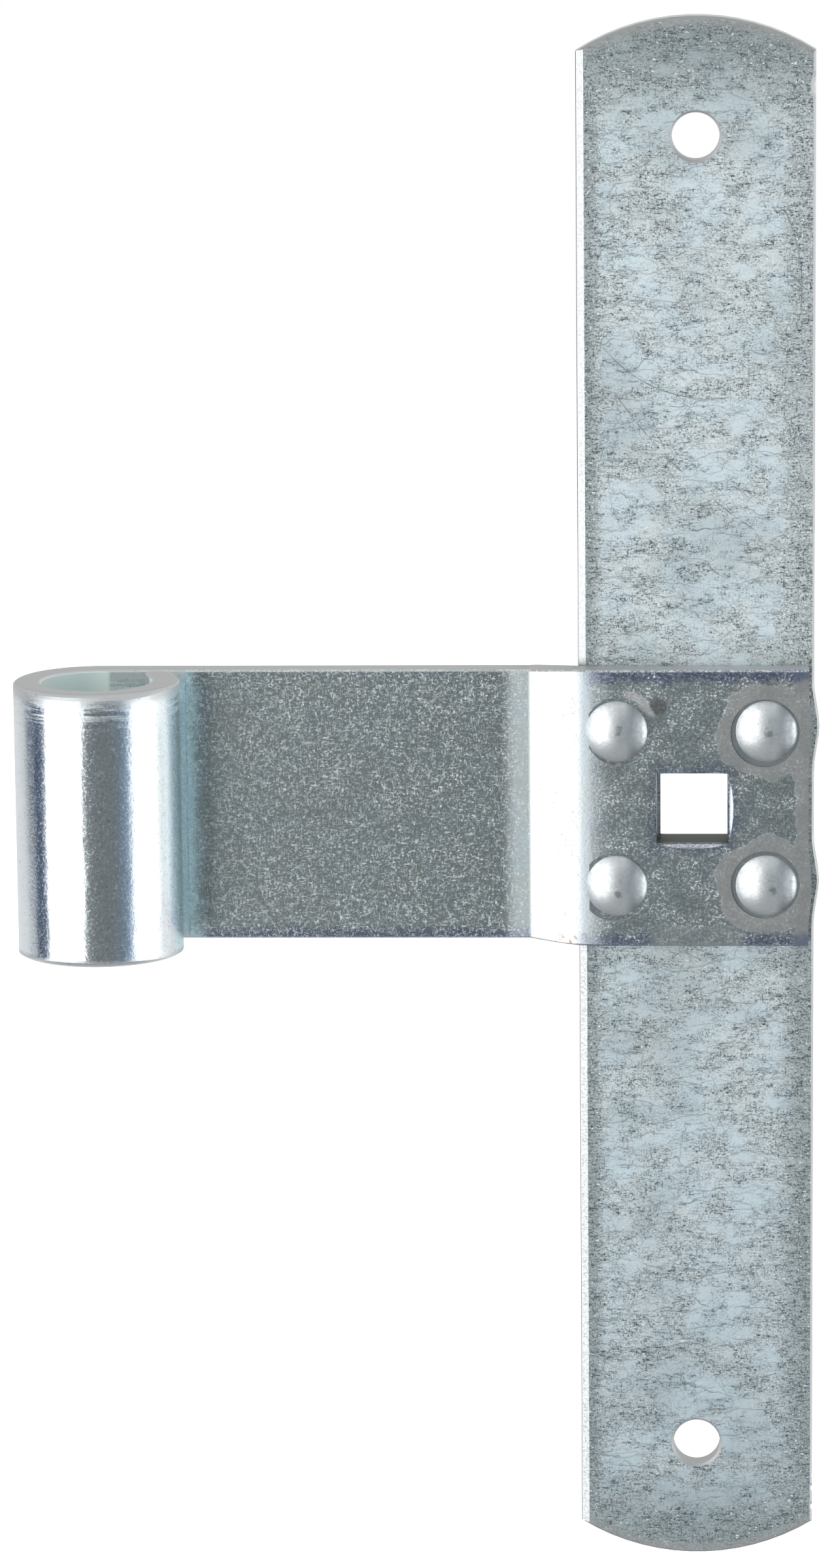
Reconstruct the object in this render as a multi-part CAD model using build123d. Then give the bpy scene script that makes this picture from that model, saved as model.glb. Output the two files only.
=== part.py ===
from build123d import *
import os
from math import cos, radians, sin, sqrt, tan

# Riveted shutter hinge: an upright strap that is screwed to the shutter, and an arm that is
# riveted across it and rolled at its free end into an eye for the wall pintle.
# Frame: origin on the eye's axis at mid height, +Z up the pin, +X towards the strap,
# front -Y, and the back +Y lies against the shutter. All lengths are millimetres.

# Mounting strap
strap_length = 200.0
strap_width = 30.0
strap_thickness = 3.0
strap_end_radius = 28.0        # arc that both ends are cropped to
strap_roll_width = 1.0         # front left edge, rolled off by the shear
strap_roll_depth = 0.36
strap_roll_corner = 0.25       # the roll to the strap's left side
strap_edge_break = 0.3         # the other front edges and the rims of the screw holes
screw_hole_diameter = 6.0
screw_hole_spacing = 170.0

# Nicks along the strap's front right edge: middle to the near end, length and depth
nicks_near_top = [(8.7, 4.8, 0.5)]
nicks_near_bottom = [(14.2, 1.4, 0.2), (10.6, 1.6, 0.25), (8.9, 1.7, 0.35), (6.4, 1.8, 0.35)]

# Hinge arm
arm_height = 35.0
arm_thickness = 3.5
arm_end_setback = 0.75         # cut end of the arm to the right edge of the strap
arm_edge_break = 0.25          # top and bottom edges all round
pad_spread = 0.4               # pad's top and bottom edges past the arm's, spread by the press
eye_bore = 14.0
eye_to_strap = 75.7            # eye axis to the strap's centreline
eye_curl_end = 15.0            # degrees past the eye's right side where the curl runs out straight
eye_tip_clearance = 0.1        # tip of the curl to the arm's front face
eye_rim_radius = 1.2           # outer top and bottom rims of the eye at its front, worn round
eye_rim_steps = 4              # narrow cones that make up that round
eye_rim_clearance = 0.03       # that round's end to the eye's front
joggle_angle = 27.0            # slope of the step that lifts the arm over the strap
joggle_crease_radius = 0.3     # inside radius of the bend on the eye's side, pressed sharp
joggle_bend_radius = 1.5       # inside radius of the bend on the strap's side
joggle_crown_radius = 20.0     # the same bend on the front, stretched flat and wide
joggle_clearance = 0.25        # strap's rolled edge to the start of that bend

# Square hole for the neck of a coach bolt, punched through both bars
bolt_hole_size = 8.9
bolt_hole_shift = -0.5         # the arm's hole to the strap's centreline
bolt_hole_misfit = 0.4         # the strap's hole sits this far to the right of the arm's
punch_roll_wide = 0.75         # rim drawn in by the punch, at the middle of the right and bottom sides
punch_roll_narrow = 0.35       # the same on the left and top sides
punch_roll_corner = 0.1        # the same at the corners
punch_roll_depth = 1.1

# Rivets: domed heads in front, countersunk flush at the back
rivet_to_strap_edge = 5.5      # rivet axes to the strap's long edges, before the shift
rivet_to_arm_edge = 7.5        # rivet axes to the arm's top and bottom edges
rivet_pattern_shift = -0.6     # middle of the four rivets to the strap's centreline
rivet_shank_diameter = 4.5
rivet_head_diameter = 7.8
rivet_head_height = 1.4        # crown to the pad's face
rivet_tail_diameter = 8.0
rivet_tail_depth = 1.75
rivet_clearance = 0.03         # shank and tail to their holes
ring_mark_diameter = 8.8       # ring that the rivet set pressed into the arm round each head
ring_mark_depth = 0.22
edge_bulge = 0.68              # strap's right edge, pushed out beside the upset rivets
pad_bulge = 0.4                # the arm's cut end, pushed out in the same way
edge_bulge_length = 12.0

eye_inner_radius = eye_bore / 2
eye_outer_radius = eye_inner_radius + arm_thickness
back_y = eye_outer_radius                      # strap and arm share this back plane
strap_front_y = back_y - strap_thickness
arm_front_y = back_y - arm_thickness
pad_front_y = strap_front_y - arm_thickness    # the arm's pad lies on the strap
rivet_seat_y = pad_front_y + ring_mark_depth
strap_left = eye_to_strap - strap_width / 2
strap_right = eye_to_strap + strap_width / 2
arm_end_x = strap_right - arm_end_setback
bolt_hole_x = eye_to_strap + bolt_hole_shift
rivet_left = strap_left + rivet_to_strap_edge + rivet_pattern_shift
rivet_right = strap_right - rivet_to_strap_edge + rivet_pattern_shift
rivet_top = arm_height / 2 - rivet_to_arm_edge
joggle_run = strap_thickness / tan(radians(joggle_angle))
joggle_lag = tan(radians(joggle_angle / 2))
back_bend = strap_left + strap_roll_width - joggle_clearance - joggle_lag * joggle_bend_radius
front_bend = back_bend - joggle_lag * arm_thickness

# Each rivet's place, and how far its ring mark sits off centre, to the right and up
rivets_at = [
    (rivet_left, rivet_top, 0.35, 0.05),
    (rivet_right, rivet_top, -0.17, -0.25),
    (rivet_left, -rivet_top, -0.28, -0.20),
    (rivet_right, -rivet_top, -0.12, 0.10),
]


def upright_plane(y):
    """Plane at depth y that faces the front, with its axes along X and Z."""
    return Plane.XZ.offset(-y)


def bar_along_y(x, z, diameter, y_back, y_front):
    return extrude(upright_plane(y_back) * Pos(x, z) * Circle(diameter / 2), y_back - y_front)


def turned(points):
    """Solid turned about Y from a closed outline of (radius, y) points."""
    return revolve(make_face(Polyline(*points, close=True)), Axis.Y)


def drawn_square(share):
    """The square hole's outline, with this share of the roll that the punch draws its rim to."""
    corner = bolt_hole_size / 2 + punch_roll_corner * share
    wide = bolt_hole_size / 2 + punch_roll_wide * share
    narrow = bolt_hole_size / 2 + punch_roll_narrow * share
    corners = [(corner, corner), (-corner, corner), (-corner, -corner), (corner, -corner)]
    middles = [(0, narrow), (-narrow, 0), (0, -wide), (wide, 0)]
    if share == 0:
        return make_face(Polyline(*corners, close=True))
    ends = corners[1:] + corners[:1]
    return make_face([ThreePointArc(*points) for points in zip(corners, middles, ends)])


def punched_hole(x, y_punched, y_far):
    """Square hole along Y with its rim drawn in on the side that the punch came from."""
    inward = 1 if y_far > y_punched else -1
    hole = extrude(upright_plane(y_far) * Pos(x, 0) * drawn_square(0), y_far - y_punched)
    sections = []
    for depth in (0.0, 0.2, 1.0):
        drawn = 1 - sqrt(1 - (1 - depth) ** 2)
        level = upright_plane(y_punched + inward * depth * punch_roll_depth)
        sections.append(level * Pos(x, 0) * drawn_square(drawn))
    return hole + loft(sections)


def bulged_edge(x, half_length, bulge):
    """Upright edge at x from bottom to top, pushed out beside the right pair of rivets."""
    edge = []
    reached = (x, -half_length)
    for z in (-rivet_top, rivet_top):
        foot = (x, z - edge_bulge_length / 2)
        crown = (x + bulge, z)
        head = (x, z + edge_bulge_length / 2)
        edge += [Line(reached, foot), Spline(foot, crown, head, tangents=[(0, 1), (0, 1)])]
        reached = head
    return edge + [Line(reached, (x, half_length))]


def strap_outline():
    """Strap's face: arced ends, and the right edge bulged beside the rivets."""
    end_z = strap_length / 2
    end_rise = strap_end_radius - sqrt(strap_end_radius ** 2 - (strap_width / 2) ** 2)
    corner_z = end_z - end_rise
    top = ThreePointArc((strap_right, corner_z), (eye_to_strap, end_z), (strap_left, corner_z))
    left_edge = Line((strap_left, corner_z), (strap_left, -corner_z))
    bottom = ThreePointArc((strap_left, -corner_z), (eye_to_strap, -end_z), (strap_right, -corner_z))
    return make_face(bulged_edge(strap_right, corner_z, edge_bulge) + [top, left_edge, bottom])


def edge_nick(z, length, depth):
    """Round scoop out of the strap's front right edge."""
    radius = length ** 2 / (8 * depth)
    clear = (radius - depth) / sqrt(2)
    return Pos(strap_right + clear, strap_front_y - clear, z) * Sphere(radius)


def mounting_strap():
    strap = extrude(upright_plane(back_y) * strap_outline(), strap_thickness)
    face = strap.faces().sort_by(Axis.Y)[0]
    strap = chamfer(face.edges().sort_by(Axis.X)[0], strap_roll_width, strap_roll_depth, reference=face)
    corner = strap.edges().filter_by(Axis.Z).sort_by(Axis.X)[:2].sort_by(Axis.Y)[0]
    strap = fillet(corner, strap_roll_corner)
    other_edges = strap.faces().sort_by(Axis.Y)[0].edges().sort_by(Axis.X)[1:]
    strap = chamfer(other_edges, strap_edge_break)
    for z in (screw_hole_spacing / 2, -screw_hole_spacing / 2):
        strap -= bar_along_y(eye_to_strap, z, screw_hole_diameter, back_y, strap_front_y)
    front = strap.faces().sort_by(Axis.Y)[0]
    strap = chamfer(front.edges().filter_by(GeomType.CIRCLE).sort_by(SortBy.RADIUS)[:2], strap_edge_break)
    for from_end, length, depth in nicks_near_top:
        strap -= edge_nick(strap_length / 2 - from_end, length, depth)
    for from_end, length, depth in nicks_near_bottom:
        strap -= edge_nick(from_end - strap_length / 2, length, depth)
    strap -= punched_hole(bolt_hole_x + bolt_hole_misfit, back_y, strap_front_y)
    shank_r = rivet_shank_diameter / 2 + rivet_clearance
    tail_r = rivet_tail_diameter / 2 + rivet_clearance
    tail_y = back_y - rivet_tail_depth
    rivet_hole = turned(
        [(0, back_y), (tail_r, back_y), (shank_r, tail_y), (shank_r, strap_front_y), (0, strap_front_y)]
    )
    for x, z, _, _ in rivets_at:
        strap -= Pos(x, 0, z) * rivet_hole
    return strap


def arm_profile():
    """The arm seen along the pin: pad, joggle, straight run, curl and straight tip."""
    arm_reach = arm_end_x + pad_bulge
    back = FilletPolyline(
        (0, back_y),
        (back_bend - joggle_run, back_y),
        (back_bend, strap_front_y),
        (arm_reach, strap_front_y),
        radius=[joggle_crease_radius + arm_thickness, joggle_bend_radius],
    )
    front = FilletPolyline(
        (arm_reach, pad_front_y),
        (front_bend, pad_front_y),
        (front_bend - joggle_run, arm_front_y),
        (0, arm_front_y),
        radius=[joggle_crown_radius, joggle_crease_radius],
    )
    turn = radians(eye_curl_end)
    outward = Vector(cos(turn), sin(turn))
    along = Vector(-sin(turn), cos(turn))
    bore_end = outward * eye_inner_radius
    curl_end = outward * eye_outer_radius
    tip = along * ((arm_front_y - eye_tip_clearance - curl_end.Y) / along.Y)
    return make_face(
        [
            back,
            Line((arm_reach, strap_front_y), (arm_reach, pad_front_y)),
            front,
            CenterArc((0, 0), eye_inner_radius, 90, 270 + eye_curl_end),
            Polyline(bore_end, bore_end + tip, curl_end + tip, curl_end),
            CenterArc((0, 0), eye_outer_radius, 90, 270 + eye_curl_end),
        ]
    )


def arm_outline():
    """The arm seen from the front: it spreads over the joggle, and its cut end bulges."""
    arm_z = arm_height / 2
    pad_z = arm_z + pad_spread
    crease_x = front_bend - joggle_run
    eye_x = -eye_outer_radius
    upper = Polyline((arm_end_x, pad_z), (front_bend, pad_z), (crease_x, arm_z), (eye_x, arm_z))
    eye_side = Line((eye_x, arm_z), (eye_x, -arm_z))
    lower = Polyline((eye_x, -arm_z), (crease_x, -arm_z), (front_bend, -pad_z), (arm_end_x, -pad_z))
    return make_face(bulged_edge(arm_end_x, pad_z, pad_bulge) + [upper, eye_side, lower])


def worn_envelope():
    """Room that the worn arm fills: the eye's rims are round in front and fade out to the back."""
    fade = eye_rim_radius / 2
    rim_r = eye_outer_radius + fade + eye_rim_clearance - eye_rim_radius
    rim_z = arm_height / 2 - eye_rim_radius
    steps = [radians(90 * step / eye_rim_steps) for step in range(eye_rim_steps + 1)]
    upper = [(rim_r + eye_rim_radius * sin(step), rim_z + eye_rim_radius * cos(step)) for step in steps]
    lower = [(radius, -z) for radius, z in reversed(upper)]
    ends = [(0, -arm_height / 2), (0, arm_height / 2)]
    eye = Pos(0, fade, 0) * Rot(90, 0, 0) * turned(upper + lower + ends)
    behind_tip = arm_front_y - eye_tip_clearance / 2
    past_eye = eye_outer_radius + eye_rim_radius
    arm_reach = arm_end_x + pad_bulge
    plate = make_face(
        Polyline(
            (0, behind_tip),
            (past_eye, behind_tip),
            (past_eye, pad_front_y),
            (arm_reach, pad_front_y),
            (arm_reach, back_y),
            (0, back_y),
            close=True,
        )
    )
    return eye + extrude(plate, arm_height / 2 + pad_spread, both=True)


def hinge_arm():
    arm = extrude(arm_profile(), arm_height / 2 + pad_spread, both=True)
    arm &= extrude(upright_plane(back_y) * arm_outline(), back_y + eye_outer_radius)
    level = arm.faces().filter_by(lambda face: abs(face.normal_at().Z) > 0.9)
    rims = [edge for edge in level.edges() if abs(edge.tangent_at(0.5).Y) < 0.99]
    arm = chamfer(rims, arm_edge_break)
    arm &= worn_envelope()
    arm -= punched_hole(bolt_hole_x, pad_front_y, strap_front_y)
    hole_diameter = rivet_shank_diameter + 2 * rivet_clearance
    for x, z, right, up in rivets_at:
        arm -= bar_along_y(x + right, z + up, ring_mark_diameter, rivet_seat_y, pad_front_y - ring_mark_depth)
        arm -= bar_along_y(x, z, hole_diameter, strap_front_y, pad_front_y)
    return arm


def rivet():
    """One rivet about Y: flush tail, shank, and a dome that sits on its ring mark's floor."""
    shank_r, head_r, tail_r = rivet_shank_diameter / 2, rivet_head_diameter / 2, rivet_tail_diameter / 2
    rise = rivet_head_height + ring_mark_depth
    crown_y = rivet_seat_y - rise
    dome_r = (head_r ** 2 + rise ** 2) / (2 * rise)
    half_way = head_r / 2
    dome = ThreePointArc(
        (head_r, rivet_seat_y),
        (half_way, crown_y + dome_r - sqrt(dome_r ** 2 - half_way ** 2)),
        (0, crown_y),
    )
    stem = Polyline(
        (0, crown_y),
        (0, back_y),
        (tail_r, back_y),
        (shank_r, back_y - rivet_tail_depth),
        (shank_r, rivet_seat_y),
        (head_r, rivet_seat_y),
    )
    return revolve(make_face([dome, stem]), Axis.Y)


os.makedirs("parts", exist_ok=True)
export_step(mounting_strap(), "parts/mounting_strap.step")
export_step(hinge_arm(), "parts/hinge_arm.step")
one_rivet = rivet()
export_step(Compound(children=[Pos(x, 0, z) * one_rivet for x, z, _, _ in rivets_at]), "parts/rivets.step")
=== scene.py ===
from math import cos, radians, sin, tan

import bmesh
import bpy
from mathutils import Matrix, Vector


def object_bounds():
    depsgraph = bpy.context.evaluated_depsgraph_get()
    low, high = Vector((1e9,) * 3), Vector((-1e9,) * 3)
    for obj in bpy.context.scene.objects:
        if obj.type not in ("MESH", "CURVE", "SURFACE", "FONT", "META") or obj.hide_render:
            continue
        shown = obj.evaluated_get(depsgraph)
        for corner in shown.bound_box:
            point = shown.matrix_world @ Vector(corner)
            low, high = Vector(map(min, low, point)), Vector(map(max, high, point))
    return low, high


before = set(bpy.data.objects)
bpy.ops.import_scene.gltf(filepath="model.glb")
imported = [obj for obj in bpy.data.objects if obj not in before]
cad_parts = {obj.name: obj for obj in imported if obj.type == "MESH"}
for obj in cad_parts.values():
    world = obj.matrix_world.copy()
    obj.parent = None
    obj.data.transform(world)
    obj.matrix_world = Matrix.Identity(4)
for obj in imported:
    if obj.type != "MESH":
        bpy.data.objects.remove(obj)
cadBox = [list(corner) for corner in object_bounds()]
print("frame loaded:", ", ".join(sorted(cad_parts)))


# camera, solved from the photograph's edges on the part's own sizes; millimetres and degrees
cameraView = {
    "place": (74.28, -767.45, 160.49),
    "turn": (78.4925, 0.5649, 2.4108),
    "lens": 142.315,
    "sensor": 36.0,
}


def setCamera(view):
    lensData = bpy.data.cameras.new("photoCamera")
    lensData.lens = view["lens"]
    lensData.sensor_width = view["sensor"]
    camera = bpy.data.objects.new("photoCamera", lensData)
    camera.location = Vector(view["place"]) / 1000
    camera.rotation_euler = [radians(angle) for angle in view["turn"]]
    bpy.context.collection.objects.link(camera)
    bpy.context.scene.camera = camera


setCamera(cameraView)
print("camera set")


# small node helpers
def addNode(tree, kind, sockets=None, **settings):
    made = tree.nodes.new("ShaderNode" + kind)
    for name, value in settings.items():
        setattr(made, name, value)
    for name, value in (sockets or {}).items():
        if isinstance(value, bpy.types.NodeSocket):
            tree.links.new(value, made.inputs[name])
        else:
            made.inputs[name].default_value = value
    return made


def calc(tree, operation, a, b=0.0, c=0.0, clamp=False):
    return addNode(tree, "Math", {0: a, 1: b, 2: c}, operation=operation, use_clamp=clamp).outputs[0]


def plus(tree, base, value, share, clamp=False):
    # base and a share of value
    return calc(tree, "MULTIPLY_ADD", value, share, base, clamp)


def minus(tree, value, other):
    return calc(tree, "SUBTRACT", value, other)


def rest(tree, mask):
    # everywhere that the mask is not
    return calc(tree, "SUBTRACT", 1.0, mask)


def absolute(tree, value):
    return calc(tree, "ABSOLUTE", value)


def most(tree, *values):
    whole = values[0]
    for value in values[1:]:
        whole = calc(tree, "MAXIMUM", whole, value)
    return whole


def times(tree, *values):
    whole = values[0]
    for value in values[1:]:
        whole = calc(tree, "MULTIPLY", whole, value)
    return whole


def distance(tree, a, b):
    return calc(tree, "SQRT", plus(tree, times(tree, b, b), a, a))


def reach(tree, x, z, centre):
    # distance from a point on the front
    return distance(tree, minus(tree, x, centre[0]), minus(tree, z, centre[1]))


def rise(tree, value, start, end, low=0.0, high=1.0):
    # smooth step from low to high while value goes from start to end
    sockets = {"Value": value, "From Min": start, "From Max": end, "To Min": low, "To Max": high}
    return addNode(tree, "MapRange", sockets, interpolation_type="SMOOTHSTEP").outputs[0]


def between(tree, value, low, high, soft):
    return times(tree, rise(tree, value, low - soft, low + soft), rise(tree, value, high + soft, high - soft))


def blend(tree, share, under, over):
    made = addNode(tree, "Mix", data_type="RGBA")
    for index, value in ((0, share), (6, under), (7, over)):
        if isinstance(value, bpy.types.NodeSocket):
            tree.links.new(value, made.inputs[index])
        else:
            made.inputs[index].default_value = value if index == 0 else (*value, 1.0)
    return made.outputs[2]


def ramp(tree, value, stops):
    made = addNode(tree, "ValToRGB", {"Fac": value})
    elements = made.color_ramp.elements
    while len(elements) < len(stops):
        elements.new(0.5)
    for element, (place, colour) in zip(elements, stops):
        element.position = place
        element.color = (*colour, 1.0)
    return made.outputs[0]


def grain(tree, coords, size, shift, detail, rough=0.55, twist=0.0):
    # noise whose lumps are about size millimetres along x, y and z
    scale = [1 / length for length in size]
    stretched = addNode(tree, "Mapping", {"Vector": coords, "Location": shift, "Scale": scale}).outputs[0]
    sockets = {"Vector": stretched, "Scale": 1.0, "Detail": detail, "Roughness": rough, "Distortion": twist}
    return addNode(tree, "TexNoise", sockets).outputs["Fac"]


def places(tree, coords):
    return addNode(tree, "SeparateXYZ", {0: coords}).outputs


# studio: white behind, two tall softboxes, a pale ceiling and a darker room in front
studioLight = {
    "left": {"azimuth": 46, "spread": 52, "power": 17.0, "low": -0.75, "high": 1.2},
    "right": {"azimuth": -70, "spread": 34, "power": 4.2, "low": -0.80, "high": 0.45},
    "distance": 1.1,
    # walls by degrees round the hinge, from the front to its left
    "room": [
        (-180, (0.70, 0.72, 0.73)),
        (-112, (1.0, 1.0, 1.0)),
        (-86, (1.0, 1.0, 1.0)),
        (-54, (0.30, 0.40, 0.52)),
        (-38, (0.16, 0.22, 0.29)),
        (-28, (0.17, 0.19, 0.20)),
        (18, (0.17, 0.19, 0.20)),
        (72, (0.05, 0.08, 0.14)),
        (108, (0.05, 0.08, 0.14)),
        (116, (0.60, 0.60, 0.60)),
        (180, (0.70, 0.71, 0.71)),
    ],
    "ceiling": (0.70, 0.72, 0.73),
    "below": (0.40, 0.41, 0.42),
    "wallTop": (0.42, 0.87),
    "backdrop": (1.0, 1.0, 1.0),
    "backdropFrom": (0.86, 0.97),
    "backdropMirrored": 0.5,
}
studioFloor = {
    "height": -0.45, "front": 0.15, "back": 3.0, "half": 2.0,
    "tint": (0.86, 0.86, 0.86), "lift": 0.75, "mirrored": 0.25,
}


def hangSoftbox(name, box, away, aim):
    lampData = bpy.data.lights.new(name, "AREA")
    lampData.shape = "RECTANGLE"
    lampData.size = 2 * away * tan(radians(box["spread"] / 2))
    lampData.size_y = box["high"] - box["low"]
    lampData.energy = box["power"]
    lamp = bpy.data.objects.new(name, lampData)
    turn = radians(box["azimuth"])
    lamp.location = (aim.x - away * sin(turn), aim.y - away * cos(turn), (box["high"] + box["low"]) / 2)
    facing = Vector((aim.x - lamp.location.x, aim.y - lamp.location.y, 0))
    lamp.rotation_euler = facing.to_track_quat("-Z", "Y").to_euler()
    bpy.context.collection.objects.link(lamp)


def mirroredRays(tree, path):
    return most(tree, path["Is Glossy Ray"], path["Is Transmission Ray"])


def buildRoom(light):
    world = bpy.data.worlds.new("studioRoom")
    bpy.context.scene.world = world
    world.use_nodes = True
    tree = world.node_tree
    tree.nodes.clear()
    way = places(tree, addNode(tree, "TexCoord").outputs["Generated"])
    turn = calc(tree, "ARCTAN2", times(tree, way[0], -1.0), times(tree, way[1], -1.0))
    around = calc(tree, "MULTIPLY_ADD", turn, 1 / radians(360), 0.5)
    room = ramp(tree, around, [(azimuth / 360 + 0.5, colour) for azimuth, colour in light["room"]])
    start, full = light["wallTop"]
    room = blend(tree, rise(tree, way[2], start, full), room, light["ceiling"])
    room = blend(tree, rise(tree, way[2], -start, -full), room, light["below"])
    path = addNode(tree, "LightPath").outputs
    behind = rise(tree, way[1], *light["backdropFrom"])
    reflected = times(tree, mirroredRays(tree, path), behind, light["backdropMirrored"])
    seen = most(tree, path["Is Camera Ray"], reflected)
    colour = blend(tree, seen, room, light["backdrop"])
    surround = addNode(tree, "Background", {"Color": colour, "Strength": 1.0})
    tree.links.new(surround.outputs[0], addNode(tree, "OutputWorld").inputs[0])


def layFloor(floor):
    sheet = bmesh.new()
    middle = Vector((0, (floor["front"] + floor["back"]) / 2, floor["height"]))
    half = Vector((floor["half"], (floor["back"] - floor["front"]) / 2, 1))
    bmesh.ops.create_grid(sheet, x_segments=1, y_segments=1, size=1.0,
                          matrix=Matrix.LocRotScale(middle, None, half))
    mesh = bpy.data.meshes.new("studioFloor")
    sheet.to_mesh(mesh)
    sheet.free()
    plane = bpy.data.objects.new("studioFloor", mesh)
    bpy.context.collection.objects.link(plane)
    paper = bpy.data.materials.new("whitePaper")
    paper.use_nodes = True
    tree = paper.node_tree
    tree.nodes.clear()
    path = addNode(tree, "LightPath").outputs
    reflected = times(tree, mirroredRays(tree, path), floor["mirrored"])
    seen = most(tree, times(tree, path["Is Camera Ray"], floor["lift"]), reflected)
    matte = addNode(tree, "BsdfDiffuse", {"Color": (*floor["tint"], 1.0)})
    glow = addNode(tree, "Emission", {"Strength": seen})
    both = addNode(tree, "AddShader", {0: matte.outputs[0], 1: glow.outputs[0]})
    tree.links.new(both.outputs[0], addNode(tree, "OutputMaterial").inputs[0])
    mesh.materials.append(paper)


bpy.context.scene.view_settings.view_transform = "Standard"
hingeMiddle = (Vector(cadBox[0]) + Vector(cadBox[1])) / 2
buildRoom(studioLight)
for side in ("left", "right"):
    hangSoftbox(side + "Softbox", studioLight[side], studioLight["distance"], hingeMiddle)
layFloor(studioFloor)
print("studio lit")


# zinc finishes, in millimetres on the part's own axes
def newFinish(name):
    finish = bpy.data.materials.new(name)
    finish.use_nodes = True
    tree = finish.node_tree
    tree.nodes.clear()
    objectCoords = addNode(tree, "TexCoord").outputs["Object"]
    coords = addNode(tree, "Mapping", {"Vector": objectCoords, "Scale": [1000] * 3}).outputs[0]
    metal = addNode(tree, "BsdfPrincipled", {"Metallic": 1.0})
    tree.links.new(metal.outputs[0], addNode(tree, "OutputMaterial").inputs[0])
    return finish, tree, coords, metal


def dress(node, finish):
    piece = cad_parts[node]
    piece.data.materials.clear()
    piece.data.materials.append(finish)


# strap: dull bluish zinc, crinkled and scratched, with a polished rolled left edge
strapFinish = {
    "middle": 75.7, "arcCentre": 72.0, "arcRadius": 28.0, "rimWidth": (1.5, 0.9),
    "hole": (75.6, 0.0), "holeReach": (7.4, 7.2),
    "fixings": [(75.7, 85.0), (75.7, -85.0)], "fixingReach": (3.6, 3.5),
    "leftBorder": (-11.4, -13.5), "rightBorder": (9.5, 13.8), "endBorder": (21, 28),
    "blue": (0.81, 0.905, 0.935), "grey": (0.84, 0.89, 0.89), "low": (0.52, 0.63, 0.68),
    # the glint colour paints glints and sparkle
    "speck": (0.09, 0.115, 0.12), "paintedGlint": (0.99, 1.0, 1.0), "shade": (0.24, 0.29, 0.29),
    # the darker edge colour is mottled wear with painted shade lower down
    "rim": (0.50, 0.50, 0.48), "edge": (0.40, 0.405, 0.405), "edgeWearAndShade": (0.24, 0.25, 0.25),
    # the wall colour is painted shade inside the square hole
    "side": (0.46, 0.47, 0.47), "holeWall": (0.56, 0.565, 0.56), "wall": (0.12, 0.13, 0.11),
    "rough": 0.66, "edgeRough": 0.24, "wallRough": 0.6,
    # how dark it gets: in broad clouds, at the left and right edges, at the lower and upper ends
    "broadShade": 0.20, "leftShade": 0.42, "rightShade": (0.16, 0.38), "lowShade": 0.48, "highShade": 0.62,
    # noises: size of the lumps, shift, detail and roughness
    "noises": {
        "cloud": ((6, 6, 5), (3, 1, 7), 5, 0.62),
        "sand": ((0.30, 0.30, 0.24), (0, 0, 0), 3, 0.8),
        "patches": ((4.0, 4.0, 2.0), (5, 5, 5), 4, 0.65),
        "clumps": ((1.0, 1.0, 0.55), (2, 7, 7), 4, 0.8),
        "broad": ((13, 13, 11), (4, 4, 6), 2),
        "paintedSparkle": ((0.4, 0.4, 0.3), (7, 2, 9), 1),
    },
    # short dark fibres: size and shift of their noise, where they start and are full, strength
    "fibres": [
        ((1.0, 1.0, 0.17), (9, 0, 2), (0.53, 0.70), 0.55),
        ((0.45, 0.45, 0.15), (4, 3, 6), (0.52, 0.72), 0.50),
        ((0.17, 0.17, 0.9), (1, 6, 3), (0.55, 0.72), 0.45),
        ((0.15, 0.15, 0.4), (7, 2, 8), (0.54, 0.74), 0.40),
    ],
    # long wavy hairlines: tilt in degrees, spacing, shift, strength
    "hairlines": [
        (8, 4.1, (9, 1, 2), 0.60),
        (-10, 3.7, (4, 3, 7), 0.55),
        (3, 3.3, (1, 6, 3), 0.50),
        (-4, 5.1, (6, 2, 1), 0.65),
        (25, 6.2, (2, 8, 5), 0.60),
        (-30, 7.3, (8, 4, 9), 0.60),
        (80, 6.0, (3, 9, 5), 0.50),
        (-72, 7.5, (5, 7, 4), 0.50),
    ],
    # long fine scratches: circle's middle, radius and the box that shows part of it
    "scratches": [
        ((79.0, 59.5), 12.0, (72.5, 66.0), (90.0, 74.0)),
        ((66.0, 66.0), 23.0, (85.0, 62.0), (91.0, 76.0)),
        ((77.5, 69.0), 17.0, (63.0, 50.0), (80.0, 58.5)),
        ((120.0, 90.0), 66.0, (65.0, 33.0), (86.0, 54.0)),
    ],
    "scratchStrength": 0.7,
}


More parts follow.
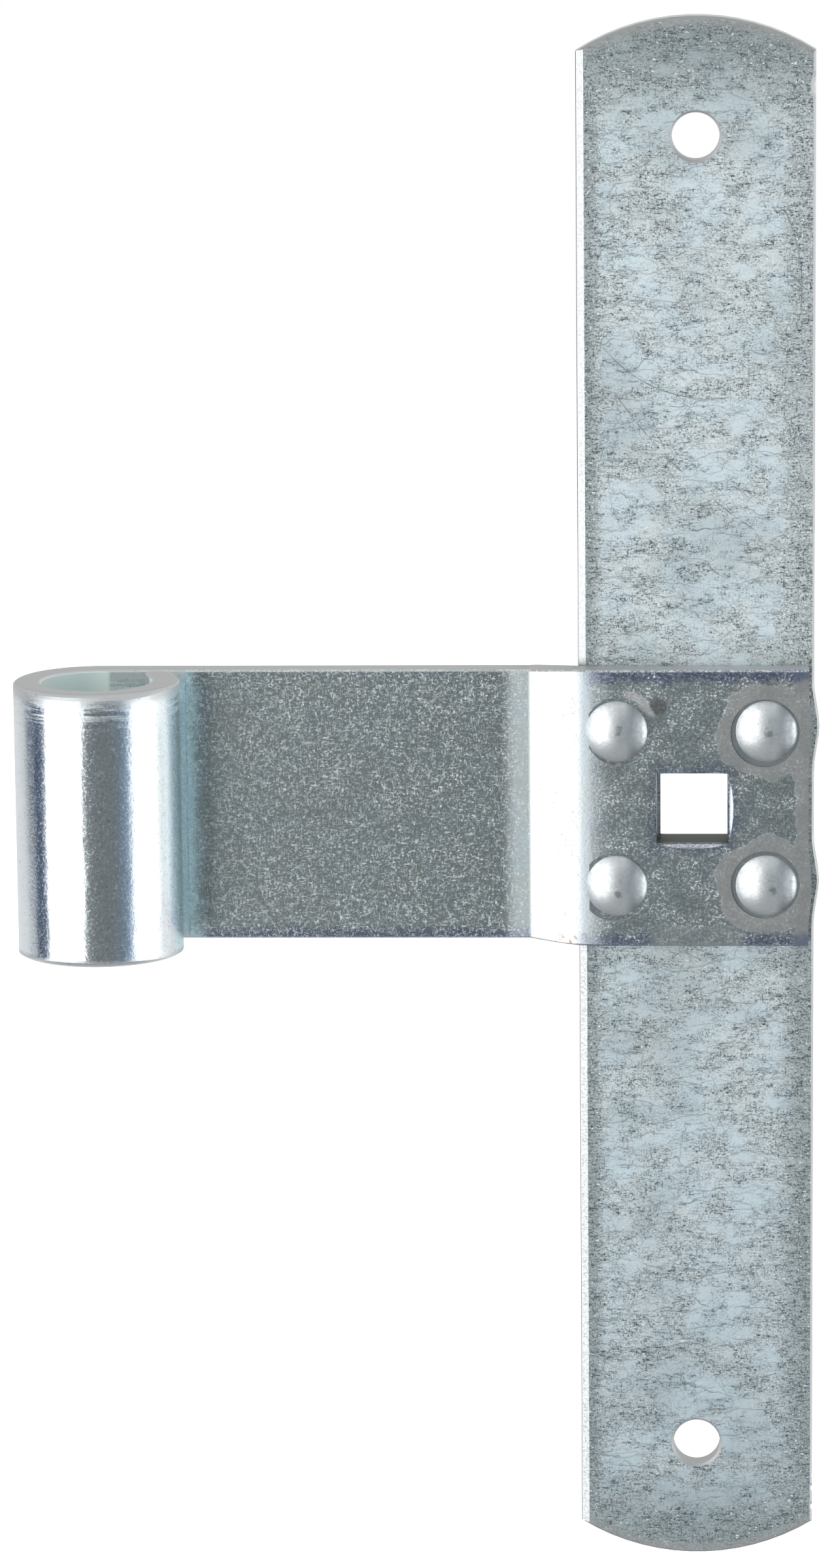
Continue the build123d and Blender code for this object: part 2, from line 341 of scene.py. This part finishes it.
def strapZinc(look):
    finish, tree, coords, metal = newFinish("strapZinc")
    x, y, z = places(tree, coords)
    facing = places(tree, addNode(tree, "NewGeometry").outputs["Normal"])
    front = times(tree, facing[1], -1.0)
    flat = rise(tree, absolute(tree, front), 0.93, 0.985)
    noise = {name: grain(tree, coords, *kind) for name, kind in look["noises"].items()}
    sand, clumps = noise["sand"], noise["clumps"]
    across = minus(tree, x, look["middle"])
    pastArc = most(tree, minus(tree, absolute(tree, z), look["arcCentre"]), 0.0)
    fromArc = distance(tree, across, pastArc)
    # sandy grey patches among smoother pale blue ones, mostly grey along the edges and at the ends
    leftBorder = rise(tree, across, *look["leftBorder"])
    rightBorder = rise(tree, across, *look["rightBorder"])
    borders = most(tree, leftBorder, rightBorder, rise(tree, fromArc, *look["endBorder"]))
    grey = rise(tree, plus(tree, noise["cloud"], borders, 0.2), 0.38, 0.62)
    colour = blend(tree, grey, look["blue"], look["grey"])
    # painted glints: light grains in the grey patches
    light = times(tree, rise(tree, sand, 0.49, 0.28), rise(tree, grey, 0.0, 1.0, 0.35, 1.0))
    colour = blend(tree, light, colour, look["paintedGlint"])
    # fibres lie across and along, closest in the grey patches
    dense = plus(tree, plus(tree, noise["patches"], borders, 0.10), grey, 0.10)
    dense = rise(tree, plus(tree, dense, clumps, 0.30), 0.53, 0.86, 0.15, 1.25)
    dark = plus(tree, rise(tree, sand, 0.50, 0.68), rise(tree, clumps, 0.50, 0.72), 0.5)
    dark = times(tree, dark, dense, 0.95)
    for size, shift, (start, full), strength in look["fibres"]:
        fibre = rise(tree, grain(tree, coords, size, shift, 2, 0.7, 0.6), start, full)
        dark = plus(tree, dark, times(tree, fibre, dense), strength, clamp=True)
    # hairlines follow levels that noise bends, and break off here and there
    for tilt, spacing, shift, strength in look["hairlines"]:
        along, upward = sin(radians(tilt)) / spacing, cos(radians(tilt)) / spacing
        level = plus(tree, times(tree, z, upward), x, along)
        level = plus(tree, level, grain(tree, coords, (9, 9, 5), shift, 4), 1.4)
        line = absolute(tree, minus(tree, calc(tree, "FRACT", level), 0.5))
        line = rise(tree, plus(tree, line, sand, 0.12 / spacing), 0.16 / spacing, 0.06 / spacing)
        shown = rise(tree, grain(tree, coords, (6, 6, 4), shift[::-1], 2), 0.47, 0.57)
        dark = most(tree, dark, times(tree, line, shown, strength))
    kept = rise(tree, noise["patches"], 0.36, 0.56)
    for middle, radius, low, high in look["scratches"]:
        line = absolute(tree, minus(tree, reach(tree, x, z, middle), radius))
        line = rise(tree, plus(tree, line, sand, 0.16), 0.21, 0.09)
        inside = times(tree, between(tree, x, low[0], high[0], 0.5), between(tree, z, low[1], high[1], 0.5))
        dark = most(tree, dark, times(tree, line, inside, kept, look["scratchStrength"]))
    # bluer down the strap, darker in broad clouds, along the edges and at the ends
    colour = blend(tree, rise(tree, z, 10, -98, 0.0, 0.34), colour, look["low"])
    shade = most(
        tree,
        rise(tree, noise["broad"], 0.40, 0.66, 0.0, look["broadShade"]),
        times(tree, leftBorder, look["leftShade"]),
        times(tree, rightBorder, rise(tree, z, 20, -20, *look["rightShade"])),
        times(tree, rise(tree, z, -84, -99), look["lowShade"]),
        times(tree, rise(tree, z, 82, 99), look["highShade"]),
    )
    colour = blend(tree, shade, colour, look["shade"])
    colour = blend(tree, dark, colour, look["speck"])
    # painted sparkle in the grey patches
    paintedSparkle = rise(tree, noise["paintedSparkle"], 0.68, 0.74)
    colour = blend(tree, times(tree, paintedSparkle, grey), colour, look["paintedGlint"])
    rim = rise(tree, fromArc, *[look["arcRadius"] - width for width in look["rimWidth"]])
    colour = blend(tree, times(tree, rim, 0.55), colour, look["rim"])
    # the rolled edge is bright and smooth, mottled with wear and painted shade that grows lower down; the
    # screw holes' walls are dull; the square hole's walls are dark with painted shade
    wearAndLowShade = times(tree, rise(tree, sand, 0.46, 0.62), rise(tree, z, 10, -40, 0.45, 1.0))
    edge = blend(tree, wearAndLowShade, look["edge"], look["edgeWearAndShade"])
    sides = most(tree, rise(tree, facing[0], 0.0, 0.2), rise(tree, front, 0.92, 0.86))
    edge = blend(tree, sides, edge, look["side"])
    fixings = [rise(tree, reach(tree, x, z, place), *look["fixingReach"]) for place in look["fixings"]]
    drilled = most(tree, *fixings)
    edge = blend(tree, drilled, edge, look["holeWall"])
    colour = blend(tree, flat, edge, colour)
    nearHole = rise(tree, reach(tree, x, z, look["hole"]), *look["holeReach"])
    # painted shade on the square hole's walls
    wall = times(tree, nearHole, rise(tree, absolute(tree, front), 0.35, 0.15))
    colour = blend(tree, wall, colour, look["wall"])
    rough = calc(tree, "MULTIPLY_ADD", flat, look["rough"] - look["edgeRough"], look["edgeRough"])
    rough = most(tree, rough, times(tree, drilled, look["wallRough"]), times(tree, wall, look["wallRough"]))
    tree.links.new(colour, metal.inputs["Base Color"])
    tree.links.new(rough, metal.inputs["Roughness"])
    return finish


dress("mounting_strap", strapZinc(strapFinish))
print("strap dressed")


# arm: smoother, darker zinc with fine light strokes, stained round the right rivets
armFinish = {
    "rollEnd": 10.75, "crease": 54.36, "bend": 60.25, "boreRadius": 7.0, "padFront": 4.0,
    "hole": (75.2, 0.0), "holeReach": (7.4, 7.2),
    # the fleck colour paints light flecks, the stains' tidelines and a painted highlight on the roll
    "teal": (0.475, 0.545, 0.56), "olive": (0.495, 0.535, 0.525), "fleckAndHighlight": (0.95, 0.98, 0.98),
    # the strip colour is a painted reflection beside the roll
    "paintedGlint": (1.0, 1.0, 1.0), "roll": (0.82, 0.86, 0.88), "tealReflection": (0.66, 0.87, 0.90),
    "blue": (0.26, 0.30, 0.42), "slope": (0.545, 0.565, 0.565), "warm": (0.56, 0.555, 0.52),
    # the bore colour is painted light inside the eye
    "stain": (0.60, 0.585, 0.56), "sheared": (0.58, 0.58, 0.57), "litBore": (0.78, 0.87, 0.84),
    # the ring colour greys the pits and paints shade on the ring marks' floors
    # the wall colour is painted shade inside the hole
    "wall": (0.12, 0.13, 0.11), "ring": (0.38, 0.41, 0.42), "rust": (0.34, 0.28, 0.24),
    # the foot colour also paints shade where the bend runs out
    "foot": (0.47, 0.50, 0.49), "darkBlot": (0.33, 0.33, 0.33),
    "rough": 0.27, "fleckRough": 0.64, "rollRough": 0.16, "dullRough": 0.62,
    # stains: rivets that have one, how far it reaches and where the one along the cut end starts
    "stainedRivets": [(84.6, 10.0), (84.6, -10.0)], "stainReach": (6.5, 6.1), "endStain": (88.0, 88.4),
    # smear beside the upper left rivet: the rivet, distance from it, a dark blot and its half width
    "smearedRivet": (65.6, 10.0), "smear": 4.9, "blot": (70.8, 13.2), "blotHalf": 1.3,
    # noises: size of the lumps, shift, detail and roughness
    "noises": {
        "wander": ((1.6, 1.6, 1.6), (2, 0, 4), 4),
        "drawn": ((3, 3, 3), (4, 4, 9), 1.5),
        "cloud": ((6, 6, 6), (1, 2, 3), 4),
        "tint": ((4, 4, 5), (6, 2, 8), 3),
        "drift": ((4, 4, 4), (9, 2, 5), 3),
        "dust": ((0.34, 0.34, 0.28), (7, 7, 3), 3, 0.8),
        "paintedSparkle": ((0.45, 0.45, 0.4), (8, 5, 2), 1),
        "warmth": ((2.5, 2.5, 5), (3, 6, 2), 3),
        "rubbed": ((7, 7, 0.35), (3, 3, 3), 4, 0.7),
        "pits": ((0.5, 0.5, 0.5), (6, 6, 1), 3, 0.7),
        "grit": ((0.32, 0.32, 0.32), (9, 4, 4), 3, 0.8),
        "rust": ((0.6, 0.6, 0.5), (2, 2, 2), 3),
        "waves": ((3.0, 3.0, 6.0), (5, 1, 1), 2),
        "dents": ((0.34, 0.34, 0.34), (1, 9, 4), 3),
    },
    # short light strokes: size and shift of their noise, where they start and are full, strength
    "strokes": [
        ((0.75, 0.75, 0.16), (5, 5, 2), (0.56, 0.70), 0.65),
        ((0.16, 0.16, 0.75), (2, 9, 6), (0.56, 0.70), 0.65),
        ((0.30, 0.30, 0.28), (3, 8, 1), (0.53, 0.70), 0.75),
    ],
    "bumpHeight": 0.00004,
}


def armZinc(look):
    finish, tree, coords, metal = newFinish("armZinc")
    x, y, z = places(tree, coords)
    facing = places(tree, addNode(tree, "NewGeometry").outputs["Normal"])
    front = times(tree, facing[1], -1.0)
    up = absolute(tree, z)
    noise = {name: grain(tree, coords, *kind) for name, kind in look["noises"].items()}
    wander, drawn = minus(tree, noise["wander"], 0.5), minus(tree, noise["drawn"], 0.5)
    crease, bend, rollEnd = look["crease"], look["bend"], look["rollEnd"]
    # roll, slope and pad; the roll's polish fades along the back
    behind = rise(tree, facing[1], 0.3, 0.7)
    ahead = rest(tree, behind)
    faded = rest(tree, times(tree, behind, rise(tree, x, -4.0, 5.0)))
    roll = times(tree, rise(tree, x, rollEnd + 0.1, rollEnd - 0.1), faded)
    slope = times(tree, ahead, rise(tree, x, crease, crease + 0.3), rise(tree, x, bend + 1.5, bend - 0.4))
    pad = rise(tree, x, bend + 0.6, bend + 2.4)
    # smooth stains round the right rivets and along the cut end
    stains = [rise(tree, plus(tree, reach(tree, x, z, place), drawn, 2.6), *look["stainReach"])
              for place in look["stainedRivets"]]
    stains = most(tree, *stains, rise(tree, plus(tree, x, drawn, 3.0), *look["endStain"]))
    stains = times(tree, stains, pad)
    plain = rest(tree, most(tree, times(tree, stains, 0.7), times(tree, roll, 0.75)))
    # short wiry light strokes on patches of teal and olive grey, and dust on the pad
    flecks = 0.0
    for size, shift, (start, full), strength in look["strokes"]:
        stroke = grain(tree, coords, size, shift, 2, 0.7, 0.7)
        flecks = plus(tree, flecks, rise(tree, stroke, start, full), strength, clamp=True)
    dots = rise(tree, stroke, 0.54, 0.40)
    thinner = calc(tree, "MULTIPLY_ADD", pad, -0.55, 1.0)
    flecks = times(tree, flecks, rise(tree, noise["cloud"], 0.34, 0.66, 0.75, 1.0), thinner)
    drift = rise(tree, noise["drift"], 0.40, 0.62)
    dust = times(tree, rise(tree, noise["dust"], 0.50, 0.66), rise(tree, drift, 0.0, 1.0, 0.35, 1.0), pad)
    flecks = times(tree, plus(tree, flecks, dust, 0.8, clamp=True), plain)
    # painted sparkle
    paintedSparkle = times(tree, rise(tree, noise["paintedSparkle"], 0.74, 0.78), plain)
    colour = blend(tree, rise(tree, noise["tint"], 0.38, 0.62), look["teal"], look["olive"])
    colour = blend(tree, roll, colour, look["roll"])
    colour = blend(tree, times(tree, stains, 0.8), colour, look["stain"])
    tideline = times(tree, stains, rest(tree, stains), 1.6)
    colour = blend(tree, tideline, colour, look["fleckAndHighlight"])
    # bluish along the top and bottom edges and round the hole
    edged = rise(tree, plus(tree, up, wander, 2.6), 15.7, 16.9)
    lower, upper = rise(tree, z, 1, -1, 0.12, 0.85), times(tree, pad, rise(tree, z, -1, 1))
    edged = times(tree, edged, most(tree, upper, lower))
    fromHole = most(tree, absolute(tree, minus(tree, x, look["hole"][0])), up)
    holed = rise(tree, plus(tree, fromHole, wander, 2.6), 6.3, 5.0, 0.0, 0.55)
    blued = times(tree, most(tree, edged, holed), rest(tree, roll))
    colour = blend(tree, blued, colour, look["blue"])
    # painted reflection: a pale teal strip beside the roll; pale slope with warm patches
    tealReflection = times(tree, ahead, rise(tree, plus(tree, x, wander, 3.0), 13.2, 10.9),
                  rise(tree, x, 9.4, 10.2), rise(tree, dots, 0.0, 1.0, 0.95, 0.6))
    colour = blend(tree, tealReflection, colour, look["tealReflection"])
    fewer = calc(tree, "MULTIPLY_ADD", tealReflection, -0.6, 1.0)
    colour = blend(tree, times(tree, flecks, fewer), colour, look["fleckAndHighlight"])
    tinted = blend(tree, rise(tree, noise["warmth"], 0.46, 0.66), look["slope"], look["warm"])
    colour = blend(tree, slope, colour, tinted)
    colour = blend(tree, paintedSparkle, colour, look["paintedGlint"])
    dusted = look["fleckRough"] - look["rough"]
    rough = calc(tree, "MULTIPLY_ADD", most(tree, flecks, paintedSparkle), dusted, look["rough"])
    rough = plus(tree, rough, roll, look["rollRough"] - look["rough"])
    rough = plus(tree, rough, tealReflection, 0.18)
    # painted highlight: the roll is paler, and duller, before it turns under
    rollHighlight = times(tree, roll, ahead, rise(tree, x, 7.2, 8.0), rise(tree, x, 9.5, 8.9))
    colour = blend(tree, times(tree, rollHighlight, 0.9), colour, look["fleckAndHighlight"])
    rough = plus(tree, rough, rollHighlight, 0.12)
    rough = plus(tree, plus(tree, rough, times(tree, drift, pad), 0.03), stains, 0.10)
    # the eye's rims are rubbed dull, with level scratches under the top one and fine pits all over
    rims = most(tree, rise(tree, z, 15.4, 16.8), rise(tree, z, -16.2, -17.2))
    scored = times(tree, rise(tree, z, 12.0, 15.5), rise(tree, noise["rubbed"], 0.44, 0.58))
    rough = plus(tree, rough, times(tree, most(tree, rims, scored), roll), 0.30)
    pits = rise(tree, noise["pits"], 0.62, 0.70, 0.0, 0.8)
    grime = rise(tree, noise["grit"], 0.50, 0.72, 0.0, 0.5)
    colour = blend(tree, times(tree, most(tree, pits, grime), roll), colour, look["ring"])
    rough = plus(tree, rough, times(tree, roll, rise(tree, noise["grit"], 0.50, 0.30)), 0.20)
    colour = blend(tree, times(tree, rims, roll, 0.6), colour, look["sheared"])
    # rougher where the metal was strained, before the crease and a little after the bend
    strained = times(tree, rise(tree, x, crease - 3.8, crease - 0.4), rise(tree, x, crease + 0.4, crease))
    strainedPad = times(tree, 0.08, rise(tree, x, bend + 6.8, bend + 1.0), rise(tree, x, bend, bend + 1.0))
    strained = most(tree, strained, strainedPad)
    rough = plus(tree, rough, strained, 0.50)
    colour = blend(tree, times(tree, strained, strained, 0.20), colour, look["fleckAndHighlight"])
    # painted shade: darker where the bend runs out into the pad
    bendShade = times(tree, ahead, rise(tree, x, bend + 0.3, bend + 1.3), rise(tree, x, bend + 4.6, bend + 1.8))
    colour = blend(tree, times(tree, bendShade, 0.42), colour, look["foot"])
    colour = blend(tree, times(tree, bendShade, 0.20), colour, look["blue"])
    # a pale smear and a dark blot by the upper left rivet, a smooth band along the pad's foot
    smear = absolute(tree, minus(tree, reach(tree, x, z, look["smearedRivet"]), look["smear"]))
    smear = times(tree, rise(tree, plus(tree, smear, wander, 1.2), 0.75, 0.45),
                  rise(tree, x, 66.0, 67.2), rise(tree, z, 11.6, 12.4))
    blot = plus(tree, reach(tree, x, z, look["blot"]), wander, 1.6)
    blot = rise(tree, blot, look["blotHalf"], look["blotHalf"] - 0.3)
    foot = times(tree, rise(tree, plus(tree, z, wander, 1.2), -15.1, -15.3),
                 rise(tree, x, 69.0, 70.5), rise(tree, x, 82.5, 81.0))
    colour = blend(tree, times(tree, foot, 0.8), colour, look["foot"])
    colour = blend(tree, times(tree, blot, 0.85), colour, look["darkBlot"])
    colour = blend(tree, times(tree, smear, 0.7), colour, look["stain"])
    rough = plus(tree, plus(tree, rough, foot, 0.06), smear, 0.16)
    # rust specks at the slope's lower end
    rusty = times(tree, rise(tree, noise["rust"], 0.52, 0.60), rise(tree, z, -15.6, -17.0),
                  rise(tree, x, bend - 3.5, bend - 1.0), rise(tree, x, bend + 2.0, bend + 1.0))
    colour = blend(tree, rusty, colour, look["rust"])
    # painted highlight: the upper front edge is bright in dots
    edgeHighlight = times(tree, rise(tree, front, 0.95, 0.88), rise(tree, front, 0.40, 0.55),
                       rise(tree, facing[2], 0.3, 0.5), rise(tree, x, 11.0, 12.0), dots)
    colour = blend(tree, times(tree, edgeHighlight, 0.8), colour, look["paintedGlint"])
    # painted shade on the ring marks, which lie deeper than the pad's face, fainter round the left rivets
    ringFloorShade = times(tree, rise(tree, y, look["padFront"] + 0.05, look["padFront"] + 0.15),
                 rise(tree, y, 5.0, 4.6), rise(tree, front, 0.985, 0.995), rise(tree, x, 63.6, 64.6))
    colour = blend(tree, times(tree, ringFloorShade, rise(tree, x, 70, 76, 0.35, 1.0)), colour, look["ring"])
    # sheared edges, the hole's walls and the bore are dull; the hole's walls are dark with painted shade, the
    # bore pale with painted light
    nearHole = rise(tree, reach(tree, x, z, look["hole"]), *look["holeReach"])
    sheared = times(tree, rise(tree, absolute(tree, facing[2]), 0.80, 0.95), rest(tree, nearHole))
    # painted shade on the hole's walls
    wall = times(tree, nearHole, rise(tree, absolute(tree, front), 0.35, 0.15))
    # painted light: the bore's inside is pale and half matte so it reads lit
    inBore = rise(tree, distance(tree, x, y), look["boreRadius"] + 0.12, look["boreRadius"] + 0.04)
    litBore = times(tree, inBore, rest(tree, sheared))
    colour = blend(tree, sheared, colour, look["sheared"])
    colour = blend(tree, wall, colour, look["wall"])
    colour = blend(tree, litBore, colour, look["litBore"])
    rough = most(tree, rough, times(tree, most(tree, sheared, wall, litBore), look["dullRough"]))
    # slight waves on the roll, and dents
    height = plus(tree, times(tree, noise["waves"], roll), noise["dents"], 0.35)
    bump = addNode(tree, "Bump", {"Strength": 1.0, "Distance": look["bumpHeight"], "Height": height})
    tree.links.new(bump.outputs[0], metal.inputs["Normal"])
    tree.links.new(calc(tree, "MULTIPLY_ADD", litBore, -0.6, 1.0), metal.inputs["Metallic"])
    tree.links.new(colour, metal.inputs["Base Color"])
    tree.links.new(rough, metal.inputs["Roughness"])
    return finish


dress("hinge_arm", armZinc(armFinish))
print("arm dressed")


# rivets: satin domes, each with a small grey mark near its crown
rivetFinish = {
    "pale": (0.76, 0.79, 0.79), "dull": (0.62, 0.64, 0.64),
    # the flank colour is painted shade on the domes' right sides
    "mark": (0.30, 0.315, 0.325), "rightFlankShade": (0.28, 0.30, 0.31),
    "rough": 0.46, "roughSpread": 0.06, "bumpHeight": 0.00003,
    # noises: size of the lumps, shift, detail and roughness
    "fine": ((0.6, 0.6, 0.5), (0, 0, 0), 4, 0.7),
    "wander": ((0.8, 0.8, 0.6), (4, 1, 2), 3),
    # middle and half width of each mark
    "marks": [((65.9, 10.2), 0.5), ((84.9, 10.1), 0.6), ((65.8, -10.6), 0.45), ((85.5, -10.4), 0.5)],
}


def rivetZinc(look):
    finish, tree, coords, metal = newFinish("rivetZinc")
    x, y, z = places(tree, coords)
    facing = places(tree, addNode(tree, "NewGeometry").outputs["Normal"])
    fine = grain(tree, coords, *look["fine"])
    wander = minus(tree, grain(tree, coords, *look["wander"]), 0.5)
    colour = blend(tree, rise(tree, fine, 0.35, 0.75), look["pale"], look["dull"])
    # painted shade on the side of each dome that faces right
    rightFlankShade = times(tree, rise(tree, facing[0], 0.15, 0.42), rise(tree, facing[0], 0.66, 0.56))
    colour = blend(tree, times(tree, rightFlankShade, 0.8), colour, look["rightFlankShade"])
    for place, half in look["marks"]:
        ragged = plus(tree, reach(tree, x, z, place), wander, 2.4)
        marked = times(tree, rise(tree, ragged, half + 0.1, half - 0.3), rise(tree, facing[1], 0.0, -0.5))
        colour = blend(tree, times(tree, marked, 0.7), colour, look["mark"])
    smoothest, roughest = look["rough"] - look["roughSpread"], look["rough"] + look["roughSpread"]
    rough = rise(tree, fine, 0.3, 0.7, smoothest, roughest)
    bump = addNode(tree, "Bump", {"Strength": 1.0, "Distance": look["bumpHeight"], "Height": fine})
    tree.links.new(bump.outputs[0], metal.inputs["Normal"])
    tree.links.new(colour, metal.inputs["Base Color"])
    tree.links.new(rough, metal.inputs["Roughness"])
    return finish


dress("rivets", rivetZinc(rivetFinish))
print("rivets dressed")
